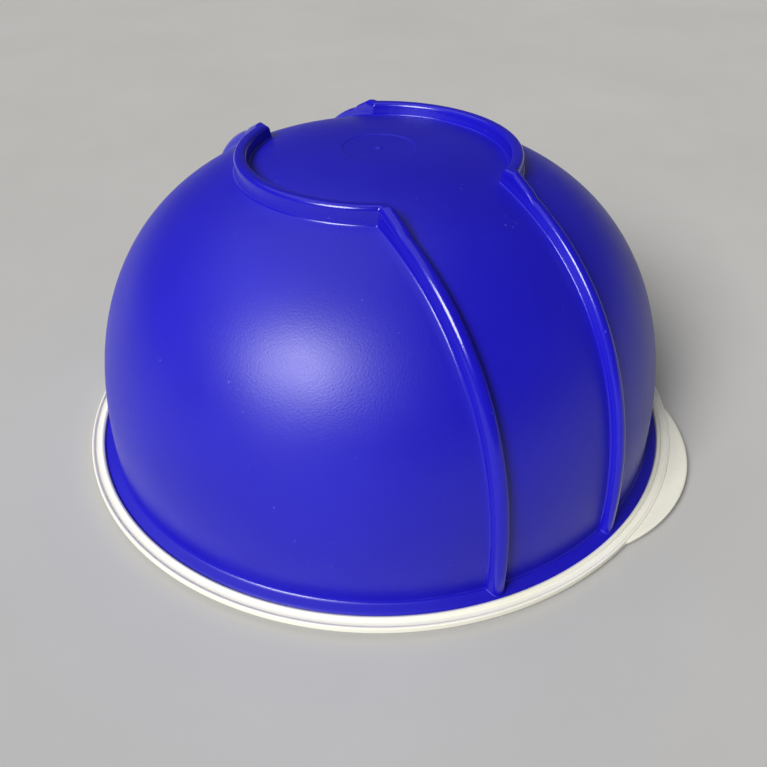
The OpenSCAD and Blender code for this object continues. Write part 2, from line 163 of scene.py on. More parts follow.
# Basket: a superellipse dome with a rim flange and a socket for its wear cup
BASKET_RIM_Z = BASKET_LOW[2]
BASKET_FLANGE_R = BASKET_HIGH[0]
SOCKET_TOP = BASKET_HIGH[2]
BASKET_R = BASKET_FLANGE_R - 3.0
BASKET_TOP = SOCKET_TOP - 12.0
BASKET_WALL = 1.9
BASKET_POWER = 3.0
SOCKET_BORE = 6.5
SOCKET_R = 9.0
BASKET_SLOTS = 32
SLOT_HALF = 1.8
SLOT_END_STEPS = 7
SLOT_LOW = 48.0
SLOT_HIGH = 94.0
TOP_SLOT_IN = 16.0
TOP_SLOT_OUT = 62.0
NOTCHES = 6
NOTCH_HALF = 5.0
NOTCH_TOP = 44.0
# Where each cutter starts and ends: along the radius for slots and notches, up for the top slots
SLOT_SPAN = (80.0, 130.0)
TOP_SLOT_SPAN = (100.0, 125.0)
NOTCH_SPAN = (110.0, 122.0)

# Grip of the folding knob: bore, recess for the cap, and (radius, distance from the arm's end)
GRIP_BORE = 3.05
GRIP_RECESS_R = 6.1
GRIP_RECESS = 2.9
GRIP_WAIST = [(7.5, 0.6), (7.7, 1.5), (7.55, 3.6), (7.2, 6.6), (6.95, 10.5), (6.95, 14.5), (7.15, 18.0),
              (7.6, 21.5), (8.1, 25.0), (8.4, 27.5), (8.5, 29.4), (8.4, 30.9)]

# Mesh density of the turned pieces, and the number of steps in a fillet
BASKET_SEGMENTS = 256
GRIP_SEGMENTS = 96
BOSS_SEGMENTS = 32
POST_SEGMENTS = 40
FILLET_STEPS = 4
# Past this angle in degrees an edge is shaded sharp on a piece that was cut or joined
CUT_SMOOTH_ANGLE = 35

# Camera: bearing from -Y towards +X and rise, in degrees, seen from the origin
CAMERA_BEARING = -32.3
CAMERA_RISE = 38.43
CAMERA_DISTANCE = 0.4158
CAMERA_TARGET = (0.00124, -0.00077, 0.0115)
CAMERA_ROLL = -0.3
CAMERA_LENS = 37.03
SENSOR = 36.0

# Stage and lights: very wide suns, so that the floor is lit evenly in every view
KEY_BEARING = -70.0
KEY_RISE = 38.0
KEY_ANGLE = 27.0
KEY_STRENGTH = 3.8
BACK_BEARING = -150.0
BACK_RISE = 68.0
BACK_ANGLE = 60.0
BACK_STRENGTH = 0.55
KEY_COLOUR = (1.0, 0.985, 0.95)
BACK_COLOUR = (1.0, 1.0, 1.0)
SUN_AIM = (0.0, 0.0, 0.07)
SUN_DISTANCE = 1.3
WORLD_COLOUR = (0.90, 0.88, 0.84, 1.0)
WORLD_STRENGTH = 0.11
FLOOR_R = 6.0
FLOOR_SEGMENTS = 96


# ---------------------------------------------------------------- mesh helpers

def make_object(name, verts, faces, smooth_angle=40.0):
    """Object from millimetre points, with outward faces and edges marked sharp past an angle."""
    mesh = bpy.data.meshes.new(name)
    mesh.from_pydata([tuple(float(c) * MM for c in v) for v in verts], [], faces)
    mesh.update()
    obj = bpy.data.objects.new(name, mesh)
    bpy.context.scene.collection.objects.link(obj)
    tidy_mesh(obj, smooth_angle)
    return obj


def tidy_mesh(obj, smooth_angle):
    """Joins double points, turns faces outward and marks edges sharp past an angle."""
    bm = bmesh.new()
    bm.from_mesh(obj.data)
    bmesh.ops.remove_doubles(bm, verts=bm.verts, dist=1e-7)
    bmesh.ops.recalc_face_normals(bm, faces=bm.faces)
    limit = math.radians(smooth_angle)
    for face in bm.faces:
        face.smooth = True
    for edge in bm.edges:
        edge.smooth = len(edge.link_faces) == 2 and edge.calc_face_angle(0.0) < limit
    bm.to_mesh(obj.data)
    bm.free()


def skin(name, rows, poles, smooth_angle=40.0):
    """Surface over rows that each go once round: to a point at both ends, or back to the first row."""
    verts, index = [], []
    last = len(rows) - 1
    for i, row in enumerate(rows):
        if poles and i in (0, last):
            index.append([len(verts)] * len(row))
            verts.append(np.mean(row, axis=0))
        else:
            index.append(list(range(len(verts), len(verts) + len(row))))
            verts.extend(row)
    pairs = list(zip(index, index[1:]))
    if not poles:
        pairs.append((index[-1], index[0]))
    faces = []
    for a, b in pairs:
        n = len(a)
        for k in range(n):
            corners = [a[k], a[(k + 1) % n], b[(k + 1) % n], b[k]]
            faces.append(list(dict.fromkeys(corners)))
    return make_object(name, verts, faces, smooth_angle)


def rounded(corners, closed=False):
    """Outline through corners (r, z, fillet), with each fillet as a short curve."""
    out = []
    count = len(corners)
    for i, (r, z, fillet) in enumerate(corners):
        p = np.array([r, z], dtype=float)
        if fillet <= 0 or (not closed and i in (0, count - 1)):
            out.append(p)
            continue
        before = np.array(corners[i - 1][:2], dtype=float)
        after = np.array(corners[(i + 1) % count][:2], dtype=float)
        to_before, to_after = before - p, after - p
        len_b, len_a = np.linalg.norm(to_before), np.linalg.norm(to_after)
        ub, ua = to_before / len_b, to_after / len_a
        half = 0.5 * math.acos(max(-1.0, min(1.0, float(ub @ ua))))
        reach = min(fillet / max(math.tan(half), 1e-6), 0.48 * len_b, 0.48 * len_a)
        for k in range(FILLET_STEPS + 1):
            t = k / FILLET_STEPS
            out.append((1 - t) ** 2 * (p + ub * reach) + 2 * t * (1 - t) * p + t ** 2 * (p + ua * reach))
    return out


def turned(name, outline, segments, centre=(0.0, 0.0)):
    """Lathe round Z of an outline that starts and ends on the axis."""
    angles = np.linspace(0, 2 * math.pi, segments, endpoint=False)
    rows = [np.stack([centre[0] + r * np.sin(angles), centre[1] - r * np.cos(angles),
                      np.full(segments, z)], axis=1) for r, z in outline]
    return skin(name, rows, poles=True)


def apply_modifiers(obj):
    """Bakes an object's modifiers into its mesh."""
    depsgraph = bpy.context.evaluated_depsgraph_get()
    mesh = bpy.data.meshes.new_from_object(obj.evaluated_get(depsgraph))
    obj.modifiers.clear()
    obj.data = mesh


def combine(obj, others, operation):
    """Boolean of a piece with helper pieces, which are then removed."""
    for other in others:
        mod = obj.modifiers.new(operation, "BOOLEAN")
        mod.operation = operation
        mod.solver = "MANIFOLD"
        mod.object = other
    apply_modifiers(obj)
    for other in others:
        bpy.data.objects.remove(other, do_unlink=True)
    tidy_mesh(obj, CUT_SMOOTH_ANGLE)


def place_piece(obj, body, node, slot):
    """Puts a finished piece on its body, in place of a CAD node, with the material of its slot."""
    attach(obj, body)
    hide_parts(node)
    obj.data.materials.clear()
    obj.data.materials.append(SLOT_MATERIALS[slot]())


def around(count, start=0.0):
    """Evenly spaced angles in degrees."""
    return [start + 360.0 * i / count for i in range(count)]


# ---------------------------------------------------------------- bowl

def dome_point(radius, top, t):
    """Point (r, z) of a dome at a parameter that runs from 0 at its foot to a quarter turn at its top."""
    r = radius * max(math.cos(t), 0.0) ** (2 / DOME_RP)
    z = DOME_Z0 + (top - DOME_Z0) * math.sin(t) ** (2 / DOME_ZP)
    return r, z


def dome_z(radius, top, r):
    """Height of a dome at radius r."""
    return DOME_Z0 + (top - DOME_Z0) * (1 - (r / radius) ** DOME_RP) ** (1 / DOME_ZP)


def step_height(d, height, crest):
    """Height of a moulded edge at distance d inside its line: fillet, drafted side, round crest."""
    if d <= SIDE_LOW - BASE_FILLET:
        return 0.0
    if d < SIDE_LOW:
        return BASE_FILLET - math.sqrt(max(BASE_FILLET ** 2 - (d - SIDE_LOW + BASE_FILLET) ** 2, 0.0))
    side = height - crest - BASE_FILLET
    if d < SIDE_HIGH:
        return BASE_FILLET + side * (d - SIDE_LOW) / (SIDE_HIGH - SIDE_LOW)
    if d < SIDE_HIGH + crest:
        return height - crest + math.sqrt(crest ** 2 - (SIDE_HIGH + crest - d) ** 2)
    return height


def edge_steps(crest):
    """Distances from a rib's or the foot's side line at which the mesh has an edge loop."""
    base = [SIDE_LOW - BASE_FILLET * (1 - math.sin(math.radians(a))) for a in (0, 30, 54, 72, 84)]
    top = [SIDE_HIGH + crest * (1 - math.cos(math.radians(a))) for a in (14, 28, 41, 53, 65, 77)]
    return base + [SIDE_LOW, (SIDE_LOW + SIDE_HIGH) / 2, SIDE_HIGH] + top


FOOT_STEPS = edge_steps(FOOT_CREST)
RIB_STEPS = edge_steps(RIB_CREST)


def inside_ribs(r, z):
    """Whether a point lies under the ribs' crest: a larger dome, with a sloping shoulder round the foot."""
    u = max(z - DOME_Z0, 0.0) / (ENVELOPE_TOP - DOME_Z0)
    under_dome = u ** DOME_ZP + (r / (WALL_R + RIB_RISE)) ** DOME_RP < 1
    slope = (FOOT_TOP - SHOULDER_Z) / (SHOULDER_R - FOOT_OUT - SHOULDER_LAP)
    in_shoulder = r < SHOULDER_R and z < SHOULDER_Z + slope * (SHOULDER_R - r)
    return z < FOOT_TOP and (under_dome or in_shoulder)


def full_height_point(r, z):
    """Where the crest of a rib or of the foot lies over a point of the dome."""
    slope_r = DOME_RP * r ** (DOME_RP - 1) / WALL_R ** DOME_RP
    slope_z = DOME_ZP * max(z - DOME_Z0, 0.0) ** (DOME_ZP - 1) / (DOME_TOP - DOME_Z0) ** DOME_ZP
    normal = math.atan2(slope_z, slope_r)
    upright = min(max((NORMAL_R - r) / (NORMAL_R - UPRIGHT_R), 0.0), 1.0)
    lean = normal + (math.pi / 2 - normal) * upright
    low, high = 0.0, SEARCH_REACH
    for _ in range(SEARCH_STEPS):
        s = (low + high) / 2
        pr, pz = r + s * math.cos(lean), z + s * math.sin(lean)
        low, high = (s, high) if inside_ribs(pr, pz) else (low, s)
    return r + low * math.cos(lean), z + low * math.sin(lean)


def bowl_rows():
    """Rows of the bowl's outside from base to rim: (base point, crest point, foot distance)."""
    rows = []
    for r in (0.0, 0.8, 1.3, PIP_R):
        rows.append(((r, DISC_Z + 0.55 * (1 - (r / PIP_R) ** 2)), None))
    for r in (2.2, 4, 7, 10, 13, DISC_R - 1.2, DISC_R - 0.6):
        rows.append(((r, DISC_Z), None))
    for r, rise in ((DISC_R - 0.25, 0.06), (DISC_R, 0.18), (DISC_R + 0.25, 0.3)):
        rows.append(((r, DISC_Z + rise), None))
    for r in (DISC_R + 0.6, DISC_R + 1.0, DISC_R + 1.8, 20, 24, 28, 32, 36, 40, 44, 47.5, BAND_START_R):
        rows.append(((r, dome_z(WALL_R, DOME_TOP, r)), None))
    foot_r = sorted({round(FOOT_IN + d, 3) for d in FOOT_STEPS} | {(FOOT_IN + FOOT_OUT) / 2}
                    | {round(FOOT_OUT - d, 3) for d in FOOT_STEPS})
    wall = [dome_point(WALL_R, DOME_TOP, math.radians(t)) for t in np.linspace(66.0, 0.9, 64)]
    wall = [(r, z) for r, z in wall if r > FOOT_OUT + 2.0 and z > CREASE_Z + 1.3]
    for r, z in [(r, dome_z(WALL_R, DOME_TOP, r)) for r in foot_r] + wall:
        rows.append(((r, z), full_height_point(r, z)))
    crest_r = WALL_R + RIB_RISE

    def flange(r):
        return CREASE_Z - 0.1 - (r - WALL_R) * FLANGE_FALL

    rows += [
        ((WALL_R + 0.02, CREASE_Z + 1.0), (crest_r, CREASE_Z + 1.0)),
        ((WALL_R + 0.12, CREASE_Z + 0.55), (crest_r + 0.02, CREASE_Z + 0.2)),
        ((WALL_R + 0.35, CREASE_Z + 0.2), (crest_r + 0.06, CREASE_Z - 0.4)),
        ((WALL_R + 0.75, flange(WALL_R + 0.75) + 0.05), (crest_r + 0.12, flange(crest_r) + 0.12)),
        ((WALL_R + 1.3, flange(WALL_R + 1.3)), (crest_r + 0.18, flange(crest_r + 0.18))),
        ((WALL_R + 2.4, flange(WALL_R + 2.4)), (crest_r + 0.24, flange(crest_r + 0.24))),
        ((WALL_R + 3.6, flange(WALL_R + 3.6)), (crest_r + 0.3, flange(crest_r + 0.3))),
        ((RIM_R - 0.55, flange(RIM_R - 0.55)), None),
    ]
    return rows


def bowl_columns():
    """Columns round the bowl: (signed x in a channel band or None, share of the side sector, side)."""
    side = [RIB_X + RIB_HALF - d for d in RIB_STEPS] + [RIB_X] + [RIB_X - RIB_HALF + d for d in RIB_STEPS]
    half = sorted(set([round(x, 3) for x in side] + [4.0, 8.0, 12.0, 16.0, 20.0, 24.0]))
    band = [-x for x in reversed(half)] + [0.0] + half
    sector = SIDE_SECTOR_COLUMNS
    columns = [("front", x) for x in [-BAND_X] + band + [BAND_X]]
    columns += [("right", k / sector) for k in range(1, sector)]
    columns += [("back", x) for x in [BAND_X] + band[::-1] + [-BAND_X]]
    columns += [("left", k / sector) for k in range(1, sector)]
    return columns


def column_angle(column, r):
    """Bearing of a column at radius r, from the front (-Y) towards +X."""
    kind, value = column
    r = max(r, BAND_START_R)
    edge = math.asin(BAND_X / r)
    if kind == "front":
        return math.asin(value / r)
    if kind == "back":
        return math.pi - math.asin(value / r)
    if kind == "right":
        return edge + (math.pi - 2 * edge) * value
    return math.pi + edge + (math.pi - 2 * edge) * value


def rib_and_foot_height(column, r, height):
    """Height above the dome of the union of the foot's arcs and the ribs."""
    height = max(height, MIN_STEP_HEIGHT)
    kind, value = column
    x = abs(value) if kind in ("front", "back") else BAND_X
    from_inside = step_height(r - FOOT_IN, height, FOOT_CREST)
    foot = min(from_inside, step_height(FOOT_OUT - r, height, FOOT_CREST)) if r < FOOT_OUT + 2 else 0.0
    past_channel = step_height(x - (RIB_X - RIB_HALF), height, RIB_CREST)
    rib = min(past_channel, step_height(RIB_X + RIB_HALF - x, height, RIB_CREST))
    return max(min(from_inside, rib), min(foot, past_channel)) / height


def crest_share(point):
    """How near a point is to the crest of a rib or of the foot, from 0 on the wall to 1."""
    r, u = math.hypot(point.x, point.y) / WALL_R, max(point.z - DOME_Z0, 0.0) / (DOME_TOP - DOME_Z0)
    level = r ** DOME_RP + u ** DOME_ZP - 1
    steepness = math.hypot(DOME_RP * r ** (DOME_RP - 1) / WALL_R,
                           DOME_ZP * u ** (DOME_ZP - 1) / (DOME_TOP - DOME_Z0))
    return min(max(level / steepness / RIB_RISE, 0.0), 1.0) if point.z > CREASE_Z else 0.0


def make_bowl():
    """Bowl as one skin: outside from base to rim, then inside from rim to the centre post's tip."""
    columns = bowl_columns()
    rows = []
    for (r, z), crest in bowl_rows():
        row = []
        for column in columns:
            pr, pz = r, z
            if crest:
                height = math.hypot(crest[0] - r, crest[1] - z)
                share = rib_and_foot_height(column, r, height)
                pr, pz = r + (crest[0] - r) * share, z + (crest[1] - z) * share
            a = column_angle(column, pr)
            row.append((pr * math.sin(a), -pr * math.cos(a), pz))
        rows.append(np.array(row))
    inner_r = WALL_R - WALL_T
    edge_z = CREASE_Z - 0.1 - (RIM_R - WALL_R) * FLANGE_FALL
    inside = rounded([(RIM_R - 0.55, edge_z, 0), (RIM_R, edge_z - 0.2, 0.4), (RIM_R, RIM_Z, 0.6),
                      (inner_r, RIM_Z, 0.8), (inner_r, DOME_Z0 + 0.5, 0)])[1:]
    inside += [dome_point(inner_r, DOME_TOP - WALL_T, math.radians(t)) for t in np.linspace(3, 86, 44)]
    inside = [p for p in inside if p[1] > 0]
    ceiling = dome_z(inner_r, DOME_TOP - WALL_T, POST_FLARE_R)
    inside += rounded([(POST_FLARE_R, ceiling, 0), (6.0, ceiling - 0.2, 1.5), (POST_R, 132.0, 1.0),
                       (POST_R, 125.0, 0.8), (POST_TIP_R, POST_TIP_Z, 0.9), (0.0, POST_TIP_Z, 0)])
    angles = np.array([column_angle(column, inner_r) for column in columns])
    for r, z in inside:
        rows.append(np.stack([r * np.sin(angles), -r * np.cos(angles), np.full(len(columns), z)], axis=1))
    bowl = skin("bowl_shell", rows, poles=True, smooth_angle=60)
    crest = bowl.data.attributes.new("crest", "FLOAT", "POINT")
    crest.data.foreach_set("value", [crest_share(v.co / MM) for v in bowl.data.vertices])
    place_piece(bowl, "bowl_unit", "bowl", "bowl_blue")


# ---------------------------------------------------------------- lid

def tab_radius(angle):
    """Radius of the lid's outline at a bearing in degrees: the lip, or the tab where it stands out."""
    centre = TAB_REACH - TAB_R
    turn = math.radians(angle - TAB_ANGLE)
    side = centre * math.sin(turn)
    if abs(side) > TAB_R:
        return LID_R
    reach = centre * math.cos(turn) + math.sqrt(TAB_R ** 2 - side ** 2)
    return max(reach, LID_R)


def lid_outline():
    """Lid section as (plain point, tab point or None), counter-clockwise from the boss."""
    before = rounded([
        (BOSS_BORE, BOSS_LOW, 0), (BOSS_R, BOSS_LOW, 0.4), (BOSS_R, CUP_CEILING, 0.8),
        (CUP_BORE, CUP_CEILING, 1.2), (CUP_BORE, CUP_RIM_LOW, 0.2),
        (PLATE_STEP_IN, CUP_RIM_LOW, 0.2), (PLATE_STEP_IN, PLATE_LOW, 0.4),
        (FOOT_RING_IN - 0.5, PLATE_LOW, 0.5), (FOOT_RING_IN, 0.0, 0.5), (FOOT_RING_OUT, 0.0, 0.5),
        (FOOT_RING_OUT + 0.6, CHANNEL_LOW, 0.5), (LID_R - 4.4, CHANNEL_LOW, 0.5),
        (LID_R - 3.4, LIP_Z0 - 0.2, 0.5), (LID_R - 0.5, LIP_Z0, 0.3), (LID_R - 0.1, LIP_Z0 + 0.1, 0),
    ])
    middle = (TAB_Z0 + TAB_Z1) / 2
    # Each row: height on the plain lip, and on the tab its inset from the outline and its height
    edge = [
        (TAB_Z0, None, TAB_Z0), (TAB_Z0 + 0.1, 4.0, TAB_Z0), (TAB_Z0 + 0.2, 1.0, TAB_Z0),
        (TAB_Z0 + 0.3, 0.4, TAB_Z0 + 0.08), (TAB_Z0 + 0.5, 0.1, TAB_Z0 + 0.3), (middle, 0.0, middle),
        (TAB_Z1 - 0.5, 0.1, TAB_Z1 - 0.3), (TAB_Z1 - 0.3, 0.4, TAB_Z1 - 0.08), (TAB_Z1 - 0.2, 1.0, TAB_Z1),
        (TAB_Z1 - 0.1, 2.5, TAB_Z1), (TAB_Z1, None, TAB_Z1 + 0.02),
    ]
    lip = [((LID_R, plain), (inset, z)) for plain, inset, z in edge]
    after = rounded([
        (LID_R, TAB_Z1 + 0.1, 0), (LID_R - 0.1, LIP_TOP - 0.1, 0.4), (LID_R - 1.0, LIP_TOP, 0.5),
        (LID_R - 1.5, GROOVE_Z, 0.5), (LID_R - 3.8, GROOVE_Z, 0.6), (LID_R - 4.4, BEAD_TOP - 0.1, 0.5),
        (LID_R - 5.0, BEAD_TOP + 0.05, 0.4), (BEAD_R, BEAD_TOP - 0.4, 0.7), (BEAD_R, CHANNEL_Z, 0.6),
        (PLUG_OUT + 0.6, CHANNEL_Z, 0.5), (PLUG_OUT, PLUG_TOP, 0.8), (PLUG_IN, PLUG_TOP, 0.8),
        (PLUG_IN - 0.1, PLATE_TOP, 0.8), (PLATE_STEP_OUT, PLATE_TOP, 0.8),
        (PLATE_STEP_OUT, CUP_RIM_TOP, 0.6), (CUP_R, CUP_RIM_TOP, 1.2), (CUP_R, CUP_TOP, 1.6),
        (BOSS_R, CUP_TOP, 1.5), (BOSS_R, BOSS_TOP, 0.6), (BOSS_BORE, BOSS_TOP, 0.2),
    ])
    return [(p, None) for p in before] + lip + [(p, None) for p in after]


def lid_bearings():
    """Bearings of the lid's columns in degrees, closer together along the tab."""
    start, end = TAB_ANGLE - TAB_SECTOR, TAB_ANGLE + TAB_SECTOR
    along_tab = np.linspace(start, end, TAB_COLUMNS, endpoint=False)
    return np.concatenate([along_tab, np.linspace(end, start + 360.0, LIP_COLUMNS, endpoint=False)])


def make_lid():
    """Lid turned from its outline, with the tab blended in, and gussets, bosses and posts joined on."""
    angles = lid_bearings()
    reach = [tab_radius(a) for a in angles]
    share = [min(max((r - LID_R) / TAB_BLEND, 0.0), 1.0) for r in reach]
    share = [t * t * (3 - 2 * t) for t in share]
    rows = []
    for (r, z), tab in lid_outline():
        row = []
        for a, outer, k in zip(angles, reach, share):
            pr, pz = r, z
            if tab:
                inset, tab_z = tab
                if inset is not None:
                    pr = r + (max(outer - inset, r) - r) * k
                pz = z + (tab_z - z) * k
            turn = math.radians(a)
            row.append((pr * math.sin(turn), -pr * math.cos(turn), pz))
        rows.append(np.array(row))
    lid = skin("lid_moulding", rows, poles=False, smooth_angle=50)
    boss = rounded([(0, 4.6, 0), (3.6, 4.6, 0), (3.4, 12.5, 0.5), (0, 12.5, 0)])
    post = rounded([(0, 16.2, 0), (5, 16.2, 0.4), (5.2, 22.8, 0), (0, 22.8, 0)])
    extras = [lid_gusset(a) for a in around(GUSSETS, 10.0)]
    extras += [turned("screw_boss", boss, BOSS_SEGMENTS, polar(RING_SCREW_R, a))
               for a in around(RING_SCREWS, 30.0)]
    extras += [turned("pin_post", post, POST_SEGMENTS, polar(PLANET_R, a)) for a in around(PLANETS)]
    combine(lid, extras, "UNION")
    place_piece(lid, "lid_unit", "lid", "lid_white")


def polar(r, degrees):
    """Point at an angle from +X, in the plan."""
    return r * math.cos(math.radians(degrees)), r * math.sin(math.radians(degrees))


def lid_gusset(angle):
    """Stiffening rib of the lid, from the gear cup to the plug wall."""
    section = [(78.2, 4.5), (89.1, 4.5), (89.5, 2.3), (128.3, 2.3), (128.3, 7.2), (94.3, 7.2), (78.2, 17.0)]
    turn = math.radians(angle)
    verts = [(r * math.cos(turn) - w * math.sin(turn), r * math.sin(turn) + w * math.cos(turn), z)
             for w in (-GUSSET_HALF, GUSSET_HALF) for r, z in section]
    n = len(section)
    faces = [list(range(n)), list(range(2 * n - 1, n - 1, -1))]
    faces += [[k, (k + 1) % n, n + (k + 1) % n, n + k] for k in range(n)]
    return make_object("gusset", verts, faces)


# ---------------------------------------------------------------- basket

def basket_section(radius, top):
    """Points (r, z) of a basket dome from its rim to its axis."""
    share = 2 / BASKET_POWER
    height = top - BASKET_RIM_Z
    return [(radius * max(math.cos(t), 0.0) ** share, BASKET_RIM_Z + height * math.sin(t) ** share)
            for t in np.linspace(0.0, math.pi / 2, 73)]


def basket_outline():
    """Section of the basket from its axis, down the inside, round the rim and back up to the axis."""
    inner_r, inner_top = BASKET_R - BASKET_WALL, BASKET_TOP - BASKET_WALL
    inside = [p for p in reversed(basket_section(inner_r, inner_top)) if p[1] > BASKET_RIM_Z + 2.0]
    rim = rounded([inside[-1] + (0,), (inner_r, BASKET_RIM_Z, 0.5), (BASKET_FLANGE_R, BASKET_RIM_Z, 0.6),
                   (BASKET_FLANGE_R, BASKET_RIM_Z + 2.0, 0.6), (BASKET_R, BASKET_RIM_Z + 2.0, 1.4),
                   (BASKET_R, BASKET_RIM_Z + 5.0, 0)])
    outside = basket_section(BASKET_R, BASKET_TOP)
    outside = [p for p in outside if p[1] > BASKET_RIM_Z + 5.5 and p[0] > SOCKET_R + 1.2]
    bore_end = BASKET_TOP + 0.2
    socket = rounded([outside[-1] + (0,), (SOCKET_R, BASKET_TOP - 0.02, 0.9), (SOCKET_R, SOCKET_TOP, 0.5),
                      (SOCKET_BORE, SOCKET_TOP, 0.4), (SOCKET_BORE, bore_end, 0), (0.0, bore_end, 0)])
    return inside[:-1] + rim + outside[:-1] + socket


def prisms(name, outlines):
    """One object of many separate prisms, each from a ring of points and its far copy."""
    verts, faces = [], []
    for near, far in outlines:
        start, n = len(verts), len(near)
        verts += near + far
        faces.append([start + k for k in range(n)])
        faces.append([start + n + k for k in reversed(range(n))])
        for k in range(n):
            nxt = (k + 1) % n
            faces.append([start + k, start + n + k, start + n + nxt, start + nxt])
    return make_object(name, verts, faces)


def slot_outline(low, high):
    """Slot with round ends, from low to high, as points (along, across)."""
    turns = [math.pi * k / SLOT_END_STEPS for k in range(SLOT_END_STEPS + 1)]
    near, far = low + SLOT_HALF, high - SLOT_HALF
    far_end = [(far + SLOT_HALF * math.sin(t), SLOT_HALF * math.cos(t)) for t in turns]
    near_end = [(near - SLOT_HALF * math.sin(t), -SLOT_HALF * math.cos(t)) for t in turns]
    return far_end + near_end


def basket_cuts():
    """Cutters of the wall slots, the slots in the top and the notches for the drive plate's lugs."""
    cuts = []

    def placed(points, angle):
        c, s = math.cos(math.radians(angle)), math.sin(math.radians(angle))
        return [(r * c - w * s, r * s + w * c, z) for r, w, z in points]

    for angle in around(BASKET_SLOTS):
        ring = slot_outline(SLOT_LOW, SLOT_HIGH)
        cuts.append([placed([(r, w, z) for z, w in ring], angle) for r in SLOT_SPAN])
    for angle in around(BASKET_SLOTS // 2):
        ring = slot_outline(TOP_SLOT_IN, TOP_SLOT_OUT)
        cuts.append([placed([(r, w, z) for r, w in ring], angle) for z in TOP_SLOT_SPAN])
    for angle in around(NOTCHES):
        ring = rounded([(-NOTCH_HALF, BASKET_RIM_Z - 1, 0), (NOTCH_HALF, BASKET_RIM_Z - 1, 0),
                        (NOTCH_HALF, NOTCH_TOP, 0.8), (-NOTCH_HALF, NOTCH_TOP, 0.8)], closed=True)
        cuts.append([placed([(r, w, z) for w, z in ring], angle) for r in NOTCH_SPAN])
    return prisms("basket_cuts", cuts)


def make_basket():
    """Basket turned from its section, with all its openings cut by one object."""
    basket = turned("basket_moulding", basket_outline(), BASKET_SEGMENTS)
    combine(basket, [basket_cuts()], "DIFFERENCE")
    place_piece(basket, "basket_unit", "basket", "basket_white")


def make_grip():
    """Waisted grip, turned round the folding knob's stem."""
    length = GRIP_HIGH[0] - GRIP_LOW[0]
    centre = (GRIP_LOW + GRIP_HIGH) / 2
    outline = [(GRIP_BORE, 0.2), (GRIP_BORE + 0.2, 0.0), (6.6, 0.0), (7.1, 0.15)] + GRIP_WAIST
    recess = length - GRIP_RECESS
    outline += rounded([(8.4, 31.0, 0), (7.75, 32.6, 0.9), (6.6, length, 0.7), (GRIP_RECESS_R, length, 0.2),
                        (GRIP_RECESS_R, recess, 0.3), (GRIP_BORE, recess, 0.2), (GRIP_BORE, recess - 1.0, 0)])
    turns = np.linspace(0, 2 * math.pi, GRIP_SEGMENTS, endpoint=False)
    across, up = np.cos(turns), np.sin(turns)
    rows = [np.stack([np.full(GRIP_SEGMENTS, GRIP_LOW[0] + x), centre[1] + r * across, centre[2] + r * up],
                     axis=1) for r, x in outline]
    grip = skin("knob_grip_moulding", rows, poles=False, smooth_angle=35)
    place_piece(grip, "knob_handle", "knob_grip", "trim_blue")


# ---------------------------------------------------------------- materials

class Nodes:
    """Short way to write a material's node tree."""

    def __init__(self, name):
        self.material = bpy.data.materials.new(name)
        self.material.use_nodes = True
        self.tree = self.material.node_tree
        self.shader = self.tree.nodes["Principled BSDF"]
        coords = self.add("ShaderNodeTexCoord")
        self.place = coords.outputs["Object"]

    def add(self, kind, **settings):
        node = self.tree.nodes.new(kind)
        for key, value in settings.items():
            setattr(node, key, value)
        return node

    def link(self, a, b):
        self.tree.links.new(a, b)

    def set(self, **values):
        for key, value in values.items():
            self.shader.inputs[key.replace("_", " ")].default_value = value

    def noise(self, scale, detail=3.0, roughness=0.55, stretch=None):
        source = self.place
        if stretch:
            mapping = self.add("ShaderNodeMapping")
            mapping.inputs["Scale"].default_value = stretch
            self.link(source, mapping.inputs["Vector"])
            source = mapping.outputs["Vector"]
        node = self.add("ShaderNodeTexNoise")
        node.inputs["Scale"].default_value = scale
        node.inputs["Detail"].default_value = detail
        node.inputs["Roughness"].default_value = roughness
        self.link(source, node.inputs["Vector"])
        return node.outputs["Fac"]

    def attribute(self, name):
        return self.add("ShaderNodeAttribute", attribute_name=name).outputs["Fac"]

    def ranged(self, value, low, high, out_low, out_high):
        node = self.add("ShaderNodeMapRange")
        numbers = {"From Min": low, "From Max": high, "To Min": out_low, "To Max": out_high}
        for key, number in numbers.items():
            node.inputs[key].default_value = number
        self.link(value, node.inputs["Value"])
        return node.outputs["Result"]

    def mix(self, factor, a, b):
        node = self.add("ShaderNodeMix", data_type="RGBA")
        self.link(factor, node.inputs["Factor"])
        for key, value in (("A", a), ("B", b)):
            socket = [s for s in node.inputs if s.name == key and s.type == "RGBA"][0]
            if isinstance(value, tuple):
                socket.default_value = (*value, 1.0)
            else:
                self.link(value, socket)
        return [s for s in node.outputs if s.type == "RGBA"][0]

    def math(self, operation, a, b):
        node = self.add("ShaderNodeMath", operation=operation)
        for socket, value in zip(node.inputs, (a, b)):
            if isinstance(value, (int, float)):
                socket.default_value = value
            else:
                self.link(value, socket)
        return node.outputs["Value"]

    def bump(self, height, distance, strength=1.0, below=None):
        node = self.add("ShaderNodeBump")
        node.inputs["Distance"].default_value = distance
        node.inputs["Strength"].default_value = strength
        self.link(height, node.inputs["Height"])
        if below is not None:
            self.link(below, node.inputs["Normal"])
        return node.outputs["Normal"]

    def colour(self, socket):
        self.link(socket, self.shader.inputs["Base Color"])

    def roughness(self, socket):
        self.link(socket, self.shader.inputs["Roughness"])

    def normal(self, socket):
        self.link(socket, self.shader.inputs["Normal"])


